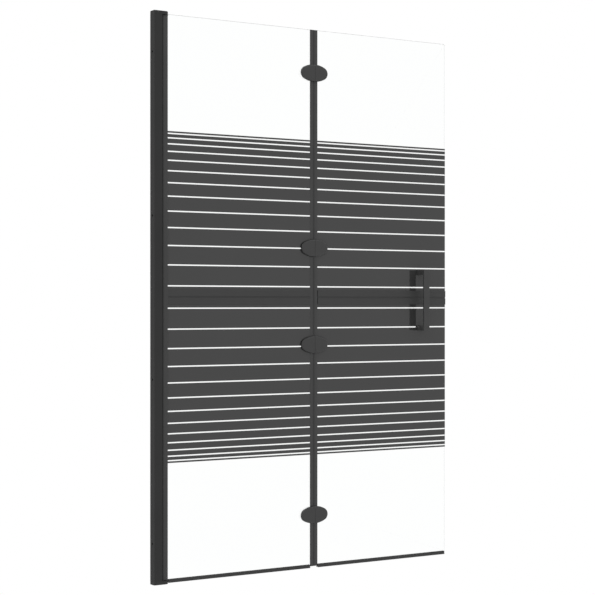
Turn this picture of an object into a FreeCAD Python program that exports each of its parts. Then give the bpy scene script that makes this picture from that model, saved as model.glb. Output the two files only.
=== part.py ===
"""Folding shower enclosure: two glass panels on a wall channel, joined by four hinges.

The frame: X runs out from the wall along the closed panels, Z is up, and -Y is the
handle side. The origin is on the wall face, on the centre plane of the glass, level
with the underside of the bottom end cap. All sizes are in millimetres.
"""

import FreeCAD, Part
import math
import os

# Whole enclosure
overall_height = 1400.0
overall_width = 900.0
glass_thickness = 5.0
glass_lift = 7.5
glass_top_drop = 5.5
glass_corner_radius = 3.0
joint_distance = 469.9
running_gap = 0.4
cut_overrun = 1.0
pick_tolerance = 0.02

# Wall channel and the adjustment profile that slides in it
channel_depth = 22.0
channel_reach = 22.4
channel_wall = 1.6
channel_base = 2.0
channel_edge_bevel = 0.6
channel_rib_height = 1.2
channel_rib_width = 1.4
wall_hole_radius = 2.75
wall_hole_end_distance = 100.0
wall_hole_inner_spacing = 400.0
adjuster_slide_gap = 0.2
adjuster_setback = 0.4
adjuster_back_gap = 3.2
adjuster_wall = 1.5
adjuster_seal_slot = 3.0
draft_seal_head_width = 5.4
draft_seal_head = 1.0
draft_seal_fit = 0.1
draft_seal_bulb_width = 4.0

# Clamping screws of the adjustment profile, on the hidden side
clamp_screw_radius = 2.5
clamp_screw_fit = 0.1
clamp_screw_count = 2
clamp_screw_end_distance = 200.0

# End caps and pivot
cap_height = 8.6
cap_edge_bevel = 0.8
cap_spigot_length = 14.0
cap_spigot_fit = 0.3
pivot_socket_depth = 6.0
pivot_pin_radius = 2.2
pivot_pin_fit = 0.03
pivot_pin_grip = 18.0
pivot_running_fit = 0.05

# Glass-holding post that turns on the pivot
post_radius = 7.0
post_back_gap = 1.2
post_nose = 8.9
post_edge_radius = 1.4
post_end_gap = 0.8
glazing_wall = 1.0
glazing_depth = 5.0

# Bottom seals
seal_grip = 3.0
seal_drop = 5.7
seal_leg = 1.6
seal_web = 1.3
seal_fin = 0.9
seal_fin_lean = 2.2
seal_fin_spacing = 3.2
seal_end_gap = 0.5

# Edge trims along the fold
trim_width = 11.0
trim_back_width = 9.2
trim_proud = 0.7
trim_edge = 1.6
trim_corner_bevel = 0.5
trim_overhang = 1.4
trim_hinge_lap = 1.0
trim_lip_recess = 0.4
trim_lip_width = 2.4
fold_seal_gap = 0.25
fold_seal_width = 2.8

# Printed stripes, in units of one clear line
stripe_unit_height = 3.663
stripe_middle_count = 14
stripe_centre_rise = 1.7
print_thickness = 0.2
print_margin = 0.1

# Centre rail on the face of the glass
rail_height = 37.0
rail_thickness = 2.2
rail_centre_rise = 2.0
rail_groove_height = 4.0
rail_groove_depth = 1.3
rail_edge_bevel = 0.6
rail_end_gap = 0.5

# Hinges
hinge_low_height = 139.2
hinge_top_drop = 117.5
hinge_middle_spacing = 250.0
hinge_middle_rise = 4.5
hinge_length = 81.4
hinge_height = 45.2
hinge_side_rise = 5.9
hinge_back_share = 0.82
hinge_seam = 0.5
hinge_front_thickness = 6.6
hinge_back_thickness = 6.0
hinge_front_edge_bevel = 2.8
hinge_gasket = 0.8
hinge_axis_proud = 1.2
knuckle_radius = 5.5
knuckle_centre_length = 12.0
knuckle_end_length = 10.0
knuckle_gap = 0.3
knuckle_relief = 0.45
hinge_pin_radius = 2.2
hinge_running_fit = 0.05
hinge_boss_depth = 24.0
hinge_boss_height = 16.0
hinge_notch_clearance = 2.0
hinge_notch_radius = 6.0
hinge_gasket_fit = 0.2
hinge_gasket_shares = [(0.5, 0.76), (0.8, 0.5), (0.9, 0.25)]
hinge_gasket_seam_share = 0.9
hinge_print_share = 0.94

# Handle
handle_edge_distance = 87.1
handle_centre_drop = 5.3
handle_length = 162.4
handle_width = 18.8
handle_bar = 5.0
handle_reach = 33.0
handle_post_height = 13.0
handle_edge_bevel = 0.7
handle_inner_radius = 2.0
handle_gasket = 0.8
handle_gasket_fit = 0.15
handle_glass_hole_radius = 5.0
handle_bolt_radius = 2.5
handle_bolt_fit = 0.06
handle_bolt_engagement = 16.0
handle_bolt_hole_extra = 2.0
handle_bolt_head_radius = 9.0
handle_bolt_head = 3.0
handle_bolt_head_bevel = 0.8
handle_washer = 0.8

# Derived places
middle_height = overall_height / 2
half_glass = glass_thickness / 2
half_channel = channel_depth / 2
pivot_distance = channel_reach + post_back_gap + post_radius
post_front_distance = pivot_distance + post_nose
glass_bottom = glass_lift
glass_top = overall_height - glass_top_drop
channel_bottom = cap_height
channel_top = overall_height - cap_height
post_bottom = cap_height + post_end_gap
post_top = overall_height - cap_height - post_end_gap
post_slot_bottom = post_front_distance - glazing_depth
half_post_slot = half_glass + glazing_wall
cap_clear_distance = pivot_distance + half_channel + seal_end_gap
adjuster_front = channel_reach - adjuster_setback
adjuster_back = channel_base + channel_rib_height + adjuster_back_gap
half_adjuster = half_channel - channel_wall - adjuster_slide_gap
trim_inner_face = joint_distance - running_gap
half_trim = half_glass + trim_proud
front_glass_face = -half_glass
print_face = front_glass_face - print_thickness
plate_front_base = front_glass_face - hinge_gasket
plate_back_base = half_glass + hinge_gasket
hinge_axis_offset = plate_back_base + hinge_back_thickness + hinge_axis_proud
hinge_end_radius = hinge_height / 2 - hinge_side_rise
hinge_heights = [
    hinge_low_height,
    middle_height + hinge_middle_rise - hinge_middle_spacing / 2,
    middle_height + hinge_middle_rise + hinge_middle_spacing / 2,
    overall_height - hinge_top_drop,
]
half_knuckle_centre = knuckle_centre_length / 2
knuckle_end_start = half_knuckle_centre + knuckle_gap
knuckle_end_stop = knuckle_end_start + knuckle_end_length
rail_centre_height = middle_height + rail_centre_rise
handle_distance = overall_width - handle_edge_distance
handle_bottom_height = middle_height - handle_centre_drop - handle_length / 2
handle_top_height = handle_bottom_height + handle_length
handle_hole_heights = [
    handle_bottom_height + handle_post_height / 2,
    handle_top_height - handle_post_height / 2,
]
UP = FreeCAD.Vector(0, 0, 1)
TO_BACK = FreeCAD.Vector(0, 1, 0)


# Basic forms
def point(x, y, z):
    """A point in the enclosure's frame."""
    return FreeCAD.Vector(x, y, z)


def block(x0, x1, y0, y1, z0, z1):
    """A box between two corners, given in either order."""
    low = point(min(x0, x1), min(y0, y1), min(z0, z1))
    return Part.makeBox(abs(x1 - x0), abs(y1 - y0), abs(z1 - z0), low)


def rod_up(x, y, radius, z0, z1):
    """A round bar along Z."""
    return Part.makeCylinder(radius, z1 - z0, point(x, y, z0), UP)


def rod_through(x, z, radius, y0, y1):
    """A round bar along Y."""
    return Part.makeCylinder(radius, y1 - y0, point(x, y0, z), TO_BACK)


def extrusion_up(corners, z0, z1):
    """A straight-sided section in X and Y, drawn up from z0 to z1."""
    loop = [point(x, y, z0) for x, y in corners]
    face = Part.Face(Part.makePolygon(loop + loop[:1]))
    return face.extrude(point(0, 0, z1 - z0))


def extrusion_along(corners, x0, x1):
    """A straight-sided section in Y and Z, drawn along X from x0 to x1."""
    loop = [point(x0, y, z) for y, z in corners]
    face = Part.Face(Part.makePolygon(loop + loop[:1]))
    return face.extrude(point(x1 - x0, 0, 0))


def extrusion_through(corners, y0, y1):
    """A straight-sided section in X and Z, drawn along Y from y0 to y1."""
    loop = [point(x, y0, z) for x, z in corners]
    face = Part.Face(Part.makePolygon(loop + loop[:1]))
    return face.extrude(point(0, y1 - y0, 0))


def rounded(shape, radius, chosen):
    """The shape with a fillet on each edge for which chosen(edge) is true."""
    edges = [edge for edge in shape.Edges if chosen(edge)]
    return shape.makeFillet(radius, edges) if edges else shape


def bevelled(shape, size, chosen):
    """The shape with a flat bevel on each edge for which chosen(edge) is true."""
    edges = [edge for edge in shape.Edges if chosen(edge)]
    return shape.makeChamfer(size, edges) if edges else shape


def at_depth(edge, y):
    """True for an edge that lies in the plane at y, facing the front or the back."""
    return abs(edge.BoundBox.YMin - y) + abs(edge.BoundBox.YMax - y) < pick_tolerance


def at_height(edge, z):
    """True for an edge that lies in the level plane at z."""
    return abs(edge.BoundBox.ZMin - z) + abs(edge.BoundBox.ZMax - z) < pick_tolerance


def runs_along(edge):
    """True for a straight edge along X."""
    return edge.BoundBox.YLength + edge.BoundBox.ZLength < pick_tolerance


def runs_through(edge):
    """True for a straight edge along Y."""
    return edge.BoundBox.XLength + edge.BoundBox.ZLength < pick_tolerance


def is_upright(edge):
    """True for a straight edge along Z."""
    return edge.BoundBox.XLength + edge.BoundBox.YLength < pick_tolerance


def all_in_one(shapes):
    """Several separate solids as one node."""
    return Part.makeCompound(shapes)


def mirrored(shape, side):
    """The shape as drawn for the outer panel, or its mirror image for the inner one."""
    if side > 0:
        return shape
    return shape.mirror(point(joint_distance, 0, 0), point(1, 0, 0))


# Wall frame
def wall_hole_heights():
    """Heights of the wall screws: one pair near the ends and one about the middle."""
    low_end = wall_hole_end_distance
    high_end = overall_height - wall_hole_end_distance
    half_inner = wall_hole_inner_spacing / 2
    return [low_end, middle_height - half_inner, middle_height + half_inner, high_end]


def make_wall_channel():
    """U-shaped extrusion screwed to the wall, with inner ribs that guide the adjuster."""
    inner = half_channel - channel_wall
    solid = block(0, channel_reach, -half_channel, half_channel, channel_bottom, channel_top)
    solid = bevelled(
        solid,
        channel_edge_bevel,
        lambda edge: is_upright(edge) and edge.BoundBox.XMin > channel_base,
    )
    hollow = block(
        channel_base, channel_reach + cut_overrun, -inner, inner,
        channel_bottom - cut_overrun, channel_top + cut_overrun,
    )
    solid = solid.cut(hollow)
    ribs = [
        block(
            channel_base, channel_base + channel_rib_height,
            side * inner, side * (inner - channel_rib_width),
            channel_bottom, channel_top,
        )
        for side in (-1, 1)
    ]
    solid = solid.fuse(ribs).removeSplitter()
    for height in wall_hole_heights():
        hole = Part.makeCylinder(
            wall_hole_radius, channel_base + 2 * cut_overrun,
            point(-cut_overrun, 0, height), point(1, 0, 0),
        )
        solid = solid.cut(hole)
    for height in clamp_screw_heights():
        clearance = clamp_screw_radius + clamp_screw_fit
        solid = solid.cut(
            rod_through(clamp_screw_distance(), height, clearance, 0, half_channel + cut_overrun)
        )
    return solid


def make_adjustment_profile():
    """Box extrusion that telescopes in the channel to take up a wall that is out of true."""
    inner = half_adjuster - adjuster_wall
    half_slot = adjuster_seal_slot / 2
    tube = block(
        adjuster_back, adjuster_front, -half_adjuster, half_adjuster, channel_bottom, channel_top
    )
    hollow = block(
        adjuster_back + adjuster_wall, adjuster_front - adjuster_wall, -inner, inner,
        channel_bottom - cut_overrun, channel_top + cut_overrun,
    )
    slot = block(
        adjuster_front - adjuster_wall - cut_overrun, adjuster_front + cut_overrun,
        -half_slot, half_slot, channel_bottom - cut_overrun, channel_top + cut_overrun,
    )
    return tube.cut(hollow).cut(slot)


def clamp_screw_distance():
    """Distance of the clamping screws from the wall: the middle of the adjuster's hollow."""
    return (adjuster_back + adjuster_front) / 2


def clamp_screw_heights():
    """Heights of the clamping screws, evenly spaced between the end distances."""
    first = clamp_screw_end_distance
    last = overall_height - clamp_screw_end_distance
    step = (last - first) / (clamp_screw_count - 1)
    return [first + step * index for index in range(clamp_screw_count)]


def make_clamp_screws():
    """Set screws in the channel's hidden side whose tips press on the adjuster and lock it."""
    return all_in_one([
        rod_through(
            clamp_screw_distance(), height, clamp_screw_radius, half_adjuster, half_channel
        )
        for height in clamp_screw_heights()
    ])


def make_draft_seal():
    """Soft strip in the adjuster's slot that closes the gap to the round of the post."""
    slot_fit = adjuster_seal_slot / 2 - draft_seal_fit
    inside = adjuster_front - adjuster_wall
    head = block(
        inside - draft_seal_head, inside,
        -draft_seal_head_width / 2, draft_seal_head_width / 2, channel_bottom, channel_top,
    )
    neck = block(inside, adjuster_front, -slot_fit, slot_fit, channel_bottom, channel_top)
    bulb_tip = pivot_distance - post_radius - running_gap
    bulb = block(
        adjuster_front, bulb_tip,
        -draft_seal_bulb_width / 2, draft_seal_bulb_width / 2, channel_bottom, channel_top,
    )
    return head.fuse([neck, bulb]).removeSplitter()


def cap_outline(z0, z1):
    """Plan of an end cap: as deep as the channel, with a round end about the pivot."""
    straight = block(0, pivot_distance, -half_channel, half_channel, z0, z1)
    nose = rod_up(pivot_distance, 0, half_channel, z0, z1)
    return straight.fuse(nose).removeSplitter()


def make_end_cap(at_top):
    """Moulded cap that closes the profiles' end, carries the pivot and plugs the adjuster."""
    if at_top:
        inside, outside = channel_top, overall_height
        inward = -1
    else:
        inside, outside = channel_bottom, 0
        inward = 1
    cap = cap_outline(min(inside, outside), max(inside, outside))
    cap = bevelled(
        cap,
        cap_edge_bevel,
        lambda edge: at_height(edge, outside) and edge.BoundBox.XMax > channel_base,
    )
    spigot_half = half_adjuster - adjuster_wall - cap_spigot_fit
    seal_head = adjuster_front - adjuster_wall - draft_seal_head
    spigot = block(
        adjuster_back + adjuster_wall + cap_spigot_fit, seal_head - cap_spigot_fit,
        -spigot_half, spigot_half, inside, inside + inward * cap_spigot_length,
    )
    socket_end = inside - inward * pivot_socket_depth
    socket = rod_up(
        pivot_distance, 0, pivot_pin_radius + pivot_running_fit,
        min(inside, socket_end), max(inside, socket_end),
    )
    return cap.fuse(spigot).cut(socket).removeSplitter()


# Inner panel's post
def make_pivot_post():
    """Extrusion with a round back about the pivot and a slot that holds the glass."""
    back = rod_up(pivot_distance, 0, post_radius, post_bottom, post_top)
    front = block(
        pivot_distance, post_front_distance, -post_radius, post_radius, post_bottom, post_top
    )
    solid = back.fuse(front).removeSplitter()
    solid = rounded(
        solid,
        post_edge_radius,
        lambda edge: is_upright(edge)
        and edge.BoundBox.XMin > post_front_distance - pick_tolerance,
    )
    slot = block(
        post_slot_bottom, post_front_distance + cut_overrun, -half_post_slot, half_post_slot,
        post_bottom - cut_overrun, post_top + cut_overrun,
    )
    bore = rod_up(
        pivot_distance, 0, pivot_pin_radius + pivot_pin_fit,
        post_bottom - cut_overrun, post_top + cut_overrun,
    )
    return solid.cut(slot).cut(bore)


def make_pivot_pins():
    """Steel pins pressed into the ends of the post; their free ends turn in the caps."""
    reach = pivot_socket_depth - pivot_running_fit
    low = rod_up(
        pivot_distance, 0, pivot_pin_radius, channel_bottom - reach, post_bottom + pivot_pin_grip
    )
    high = rod_up(
        pivot_distance, 0, pivot_pin_radius, post_top - pivot_pin_grip, channel_top + reach
    )
    return all_in_one([low, high])


def make_glazing_gasket():
    """U-shaped rubber that grips the glass in the post's slot."""
    solid = block(
        post_slot_bottom, post_front_distance, -half_post_slot, half_post_slot,
        post_bottom, post_top,
    )
    groove = block(
        post_slot_bottom + glazing_wall, post_front_distance + cut_overrun,
        -half_glass, half_glass, post_bottom - cut_overrun, post_top + cut_overrun,
    )
    return solid.cut(groove)


# Hinges, drawn for the outer panel at one height and mirrored for the inner one
def half_oval(y0, y1, height, size):
    """Half of a four-arc oval, from the seam outwards, as a plate between y0 and y1.

    The oval has the hinge's full size times the size given.
    """
    half_length = hinge_length / 2 * size
    half_height = hinge_height / 2 * size
    side_rise = hinge_side_rise * size
    end_radius = hinge_end_radius * size
    end_centre = half_length - end_radius
    side_centre = (end_centre**2 - side_rise**2) / (2 * side_rise)
    side_radius = side_centre + half_height
    slope = math.atan2(side_centre, end_centre)
    touch_x = end_centre + end_radius * math.cos(slope)
    touch_z = end_radius * math.sin(slope)
    seam_x = hinge_seam / 2
    seam_z = math.sqrt(side_radius**2 - seam_x**2) - side_centre
    middle_x = (seam_x + touch_x) / 2
    middle_z = math.sqrt(side_radius**2 - middle_x**2) - side_centre

    def place(x, z):
        return point(joint_distance + x, y0, height + z)

    top_side = Part.Arc(place(seam_x, seam_z), place(middle_x, middle_z), place(touch_x, touch_z))
    end = Part.Arc(place(touch_x, touch_z), place(half_length, 0), place(touch_x, -touch_z))
    low_side = Part.Arc(
        place(touch_x, -touch_z), place(middle_x, -middle_z), place(seam_x, -seam_z)
    )
    seam = Part.LineSegment(place(seam_x, -seam_z), place(seam_x, seam_z))
    wire = Part.Wire([part.toShape() for part in (top_side, end, low_side, seam)])
    return Part.Face(wire).extrude(point(0, y1 - y0, 0))


def make_front_plate(height):
    """Visible half oval in front of the glass, with a boss that fills the glass's notch."""
    outside = plate_front_base - hinge_front_thickness
    plate = half_oval(outside, plate_front_base, height, 1)
    seam_limit = joint_distance + hinge_seam
    plate = bevelled(
        plate,
        hinge_front_edge_bevel,
        lambda edge: at_depth(edge, outside) and edge.BoundBox.XMax > seam_limit,
    )
    half_boss = hinge_boss_height / 2
    boss = block(
        joint_distance + hinge_seam / 2, joint_distance + hinge_boss_depth,
        plate_front_base, plate_back_base, height - half_boss, height + half_boss,
    )
    return plate.fuse(boss).removeSplitter()


def make_back_plate(height, is_outer):
    """Smaller half oval behind the glass with its knuckles; the inner one holds the pin."""
    outside = plate_back_base + hinge_back_thickness
    plate = half_oval(plate_back_base, outside, height, hinge_back_share)
    centre_range = [(-half_knuckle_centre, half_knuckle_centre)]
    end_ranges = [(-knuckle_end_stop, -knuckle_end_start), (knuckle_end_start, knuckle_end_stop)]
    own, other = (centre_range, end_ranges) if is_outer else (end_ranges, centre_range)
    for low, high in own:
        barrel = rod_up(
            joint_distance, hinge_axis_offset, knuckle_radius, height + low, height + high
        )
        plate = plate.fuse(barrel)
    for low, high in other:
        relief = rod_up(
            joint_distance, hinge_axis_offset, knuckle_radius + knuckle_relief,
            height + low - knuckle_gap, height + high + knuckle_gap,
        )
        plate = plate.cut(relief)
    low, high = height - knuckle_end_start, height + knuckle_end_start
    if is_outer:
        bore_radius = hinge_pin_radius + hinge_running_fit
        plate = plate.cut(rod_up(joint_distance, hinge_axis_offset, bore_radius, low, high))
    else:
        pin = rod_up(joint_distance, hinge_axis_offset, hinge_pin_radius, low, high)
        plate = plate.fuse(pin)
    return plate.removeSplitter()


def make_hinge_gasket(y0, y1, height, size):
    """Thin rubber on one face of the glass, cut out at the boss and set back at the rim."""
    half_length = hinge_length / 2 * size
    half_height = hinge_height / 2 * size
    half_notch = hinge_boss_height / 2 + hinge_gasket_fit
    notch_end = joint_distance + hinge_boss_depth + hinge_gasket_fit
    seam = joint_distance + hinge_seam / 2
    seam_rise = half_height * hinge_gasket_seam_share
    upper = [
        (joint_distance + half_length * along, half_height * up)
        for along, up in hinge_gasket_shares
    ]
    right = [(seam, half_notch), (seam, seam_rise)] + upper
    corners = [(x, height + rise) for x, rise in right]
    corners += [(x, height - rise) for x, rise in reversed(right)]
    corners += [(notch_end, height - half_notch), (notch_end, height + half_notch)]
    return extrusion_through(corners, y0, y1)


# Glass, prints and trims
def hinge_glass_notches(side):
    """Cutters for the round-cornered notches that a panel's glass has at its hinges."""
    half_notch = hinge_boss_height / 2 + hinge_notch_clearance
    notch_end = joint_distance + hinge_boss_depth + hinge_notch_clearance
    cutters = []
    for height in hinge_heights:
        notch = block(
            joint_distance, notch_end, -half_glass - cut_overrun, half_glass + cut_overrun,
            height - half_notch, height + half_notch,
        )
        notch = rounded(
            notch,
            hinge_notch_radius,
            lambda edge: runs_through(edge) and edge.BoundBox.XMin > notch_end - pick_tolerance,
        )
        cutters.append(mirrored(notch, side))
    return cutters


def handle_glass_holes():
    """Cutters for the two holes under the handle."""
    return [
        rod_through(
            handle_distance, height, handle_glass_hole_radius,
            -half_glass - cut_overrun, half_glass + cut_overrun,
        )
        for height in handle_hole_heights
    ]


def make_inner_glass():
    """Panel between the post and the fold, stepped back where the round end caps turn by."""
    slot_end = post_slot_bottom + glazing_wall
    fold_edge = trim_inner_face - trim_edge
    glass = block(slot_end, fold_edge, -half_glass, half_glass, glass_bottom, glass_top)
    low_step = block(
        slot_end - cut_overrun, cap_clear_distance, -half_glass, half_glass,
        glass_bottom - cut_overrun, post_bottom + running_gap,
    )
    high_step = block(
        slot_end - cut_overrun, cap_clear_distance, -half_glass, half_glass,
        post_top - running_gap, glass_top + cut_overrun,
    )
    return glass.cut([low_step, high_step] + hinge_glass_notches(-1))


def make_outer_glass():
    """Panel from the fold to the free edge, with hinge notches and the handle's holes."""
    fold_edge = joint_distance + running_gap + trim_edge
    glass = block(fold_edge, overall_width, -half_glass, half_glass, glass_bottom, glass_top)
    glass = rounded(
        glass,
        glass_corner_radius,
        lambda edge: runs_through(edge)
        and edge.BoundBox.XMin > overall_width - pick_tolerance,
    )
    return glass.cut(hinge_glass_notches(1) + handle_glass_holes())


def stripe_edges():
    """Bottom and top of each printed band: heights grow by one unit towards the middle."""
    counts = list(range(1, stripe_middle_count)) + [stripe_middle_count]
    counts += list(range(stripe_middle_count - 1, 0, -1))
    total = (sum(counts) + len(counts) - 1) * stripe_unit_height
    low = middle_height + stripe_centre_rise - total / 2
    edges = []
    for count in counts:
        edges.append((low, low + count * stripe_unit_height))
        low += (count + 1) * stripe_unit_height
    return edges


def make_stripes(x0, x1, cutters):
    """Printed bands on the front face of the glass, clear of all that is clamped on it."""
    bands = []
    for low, high in stripe_edges():
        band = block(x0, x1, print_face, front_glass_face, low, high)
        near = [cutter for cutter in cutters if band.BoundBox.intersect(cutter.BoundBox)]
        bands.extend((band.cut(near) if near else band).Solids)
    return all_in_one(bands)


def hinge_print_cutters(side):
    """Where the hinges' gaskets lie on the glass; the prints run on under the plates' rims."""
    cutters = []
    for height in hinge_heights:
        oval = half_oval(print_face - cut_overrun, half_glass, height, hinge_print_share)
        cutters.append(mirrored(oval, side))
    return cutters


def handle_print_cutters():
    """Where the handle's gaskets lie on the glass, a little larger."""
    half_width = handle_width / 2 + print_margin
    half_height = handle_post_height / 2 + print_margin
    return [
        block(
            handle_distance - half_width, handle_distance + half_width,
            print_face - cut_overrun, half_glass, height - half_height, height + half_height,
        )
        for height in handle_hole_heights
    ]


def make_centre_rail(x0, x1):
    """Flat rail with a fine groove, fixed on the face of the glass at mid height."""
    half = rail_height / 2
    half_groove = rail_groove_height / 2
    outside = print_face - rail_thickness
    rail = block(x0, x1, outside, print_face, rail_centre_height - half, rail_centre_height + half)
    rail = bevelled(
        rail,
        rail_edge_bevel,
        lambda edge: at_depth(edge, outside) and runs_along(edge),
    )
    groove = block(
        x0 - cut_overrun, x1 + cut_overrun, outside - cut_overrun, outside + rail_groove_depth,
        rail_centre_height - half_groove, rail_centre_height + half_groove,
    )
    return rail.cut(groove)


def trim_ranges():
    """Heights of the trim's lengths: bottom to top, with each end just under a hinge."""
    half = hinge_height / 2 - trim_hinge_lap
    starts = [glass_bottom - trim_overhang] + [height + half for height in hinge_heights]
    stops = [height - half for height in hinge_heights] + [glass_top]
    return list(zip(starts, stops))


def make_edge_trim(side):
    """Trim on the glass edge at the fold, its back leg shorter, between the hinges."""
    near = joint_distance + running_gap
    far = near + trim_width
    back_far = near + trim_back_width
    lengths = []
    for low, high in trim_ranges():
        solid = block(near, far, -half_trim, half_glass, low, high)
        solid = solid.fuse(block(near, back_far, half_glass, half_trim, low, high))
        solid = bevelled(
            solid.removeSplitter(),
            trim_corner_bevel,
            lambda edge: is_upright(edge) and abs(edge.BoundBox.YMax) > half_trim - pick_tolerance,
        )
        slot = block(
            near + trim_edge, far + cut_overrun, -half_glass, half_glass,
            low - cut_overrun, high + cut_overrun,
        )
        line_start = near + trim_lip_width
        line = block(
            line_start, line_start + trim_lip_recess, -half_trim - cut_overrun,
            -half_trim + trim_lip_recess, low - cut_overrun, high + cut_overrun,
        )
        lengths.append(mirrored(solid.cut([slot, line]), side))
    return all_in_one(lengths)


def make_fold_seal():
    """Soft lips on the inner trim that close the gap at the fold, in lengths."""
    tip = joint_distance + running_gap - fold_seal_gap
    half = fold_seal_width / 2
    lengths = [block(trim_inner_face, tip, -half, half, low, high) for low, high in trim_ranges()]
    return all_in_one(lengths)


def make_bottom_seal(x0, x1):
    """Clip-on seal under a panel: two legs on the glass and two drip fins below."""
    outer = half_glass + seal_leg
    seal_top = glass_bottom + seal_grip
    seal_bottom = glass_bottom - seal_drop
    web_low = glass_bottom - seal_web
    half_fins = seal_fin_spacing / 2
    clip = [
        (-outer, seal_top), (-half_glass, seal_top), (-half_glass, glass_bottom),
        (half_glass, glass_bottom), (half_glass, seal_top), (outer, seal_top),
        (outer, web_low), (-half_fins, web_low),
        (-half_fins - seal_fin_lean, seal_bottom),
        (-half_fins - seal_fin_lean - seal_fin, seal_bottom),
        (-outer, web_low),
    ]
    back_fin = [
        (half_fins - seal_fin, web_low), (half_fins, web_low),
        (half_fins + seal_fin_lean, seal_bottom),
        (half_fins + seal_fin_lean - seal_fin, seal_bottom),
    ]
    seal = extrusion_along(clip, x0, x1).fuse(extrusion_along(back_fin, x0, x1))
    return seal.removeSplitter()


# Handle
def make_handle():
    """Square-ended grip bar on two posts, in front of the glass."""
    foot = front_glass_face - handle_gasket
    front = front_glass_face - handle_reach
    back_of_bar = front + handle_bar
    half = handle_width / 2
    left, right = handle_distance - half, handle_distance + half
    solid = block(left, right, front, foot, handle_bottom_height, handle_top_height)
    gap = block(
        left - cut_overrun, right + cut_overrun, back_of_bar, foot + cut_overrun,
        handle_bottom_height + handle_post_height, handle_top_height - handle_post_height,
    )
    solid = solid.cut(gap)
    solid = rounded(
        solid,
        handle_inner_radius,
        lambda edge: at_depth(edge, back_of_bar) and runs_along(edge),
    )
    solid = bevelled(solid, handle_edge_bevel, lambda edge: at_depth(edge, front))
    for height in handle_hole_heights:
        depth = foot - handle_bolt_engagement - handle_bolt_hole_extra
        solid = solid.cut(
            rod_through(
                handle_distance, height, handle_bolt_radius + handle_bolt_fit,
                depth, foot + cut_overrun,
            )
        )
    return solid


def make_handle_gaskets():
    """Rubber feet between the posts and the glass."""
    foot = front_glass_face - handle_gasket
    half = handle_width / 2
    half_post = handle_post_height / 2
    half_window = handle_bolt_radius + handle_gasket_fit
    gaskets = []
    for height in handle_hole_heights:
        pad = block(
            handle_distance - half, handle_distance + half, foot, front_glass_face,
            height - half_post, height + half_post,
        )
        window = block(
            handle_distance - half_window, handle_distance + half_window,
            foot - cut_overrun, front_glass_face + cut_overrun,
            height - half_window, height + half_window,
        )
        gaskets.append(pad.cut(window))
    return all_in_one(gaskets)


def make_handle_washers():
    """Soft round washers between the glass and the bolts' heads."""
    washers = []
    for height in handle_hole_heights:
        disc = rod_through(
            handle_distance, height, handle_bolt_head_radius, half_glass, half_glass + handle_washer
        )
        bore = rod_through(
            handle_distance, height, handle_bolt_radius + handle_gasket_fit,
            half_glass - cut_overrun, half_glass + handle_washer + cut_overrun,
        )
        washers.append(disc.cut(bore))
    return all_in_one(washers)


def make_handle_bolts():
    """Broad-headed bolts from behind, through the glass and into the handle's posts."""
    seat = half_glass + handle_washer
    outside = seat + handle_bolt_head
    tip = front_glass_face - handle_gasket - handle_bolt_engagement
    bolts = []
    for height in handle_hole_heights:
        shank = rod_through(handle_distance, height, handle_bolt_radius, tip, seat)
        head = rod_through(handle_distance, height, handle_bolt_head_radius, seat, outside)
        head = bevelled(head, handle_bolt_head_bevel, lambda edge: at_depth(edge, outside))
        bolts.append(shank.fuse(head).removeSplitter())
    return all_in_one(bolts)


# Panels
def hinge_nodes(side_name, side):
    """The hinge pieces of one panel, all four hinges in each node."""
    fronts, backs, gaskets = [], [], []
    for height in hinge_heights:
        fronts.append(mirrored(make_front_plate(height), side))
        backs.append(mirrored(make_back_plate(height, side > 0), side))
        front_gasket = make_hinge_gasket(plate_front_base, front_glass_face, height, 1)
        back_gasket = make_hinge_gasket(half_glass, plate_back_base, height, hinge_back_share)
        gaskets.extend([mirrored(front_gasket, side), mirrored(back_gasket, side)])
    return {
        side_name + "_hinge_front_plates": all_in_one(fronts),
        side_name + "_hinge_back_leaves": all_in_one(backs),
        side_name + "_hinge_gaskets": all_in_one(gaskets),
    }


def wall_frame_nodes():
    """Everything that stays on the wall."""
    return {
        "wall_channel": make_wall_channel(),
        "adjustment_profile": make_adjustment_profile(),
        "draft_seal": make_draft_seal(),
        "clamp_screws": make_clamp_screws(),
        "end_caps": all_in_one([make_end_cap(False), make_end_cap(True)]),
    }


def inner_panel_nodes():
    """The panel that turns on the wall frame."""
    trim_far = trim_inner_face - trim_width
    print_start = post_front_distance + print_margin
    print_stop = trim_far - print_margin
    nodes = {
        "pivot_post": make_pivot_post(),
        "pivot_pins": make_pivot_pins(),
        "glazing_gasket": make_glazing_gasket(),
        "inner_glass": make_inner_glass(),
        "inner_stripes": make_stripes(print_start, print_stop, hinge_print_cutters(-1)),
        "inner_centre_rail": make_centre_rail(
            post_front_distance + rail_end_gap, trim_far - rail_end_gap
        ),
        "inner_bottom_seal": make_bottom_seal(cap_clear_distance, trim_far - seal_end_gap),
        "inner_edge_trim": make_edge_trim(-1),
        "fold_seal": make_fold_seal(),
    }
    nodes.update(hinge_nodes("inner", -1))
    return nodes


def outer_panel_nodes():
    """The panel that folds on the inner one and carries the handle."""
    trim_far = joint_distance + running_gap + trim_width
    print_start = trim_far + print_margin
    cutters = hinge_print_cutters(1) + handle_print_cutters()
    nodes = {
        "outer_glass": make_outer_glass(),
        "outer_stripes": make_stripes(print_start, overall_width, cutters),
        "outer_centre_rail": make_centre_rail(trim_far + rail_end_gap, overall_width),
        "outer_bottom_seal": make_bottom_seal(
            trim_far + seal_end_gap, overall_width - glass_corner_radius
        ),
        "outer_edge_trim": make_edge_trim(1),
        "handle": make_handle(),
        "handle_gaskets": make_handle_gaskets(),
        "handle_washers": make_handle_washers(),
        "handle_bolts": make_handle_bolts(),
    }
    nodes.update(hinge_nodes("outer", 1))
    return nodes


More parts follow.
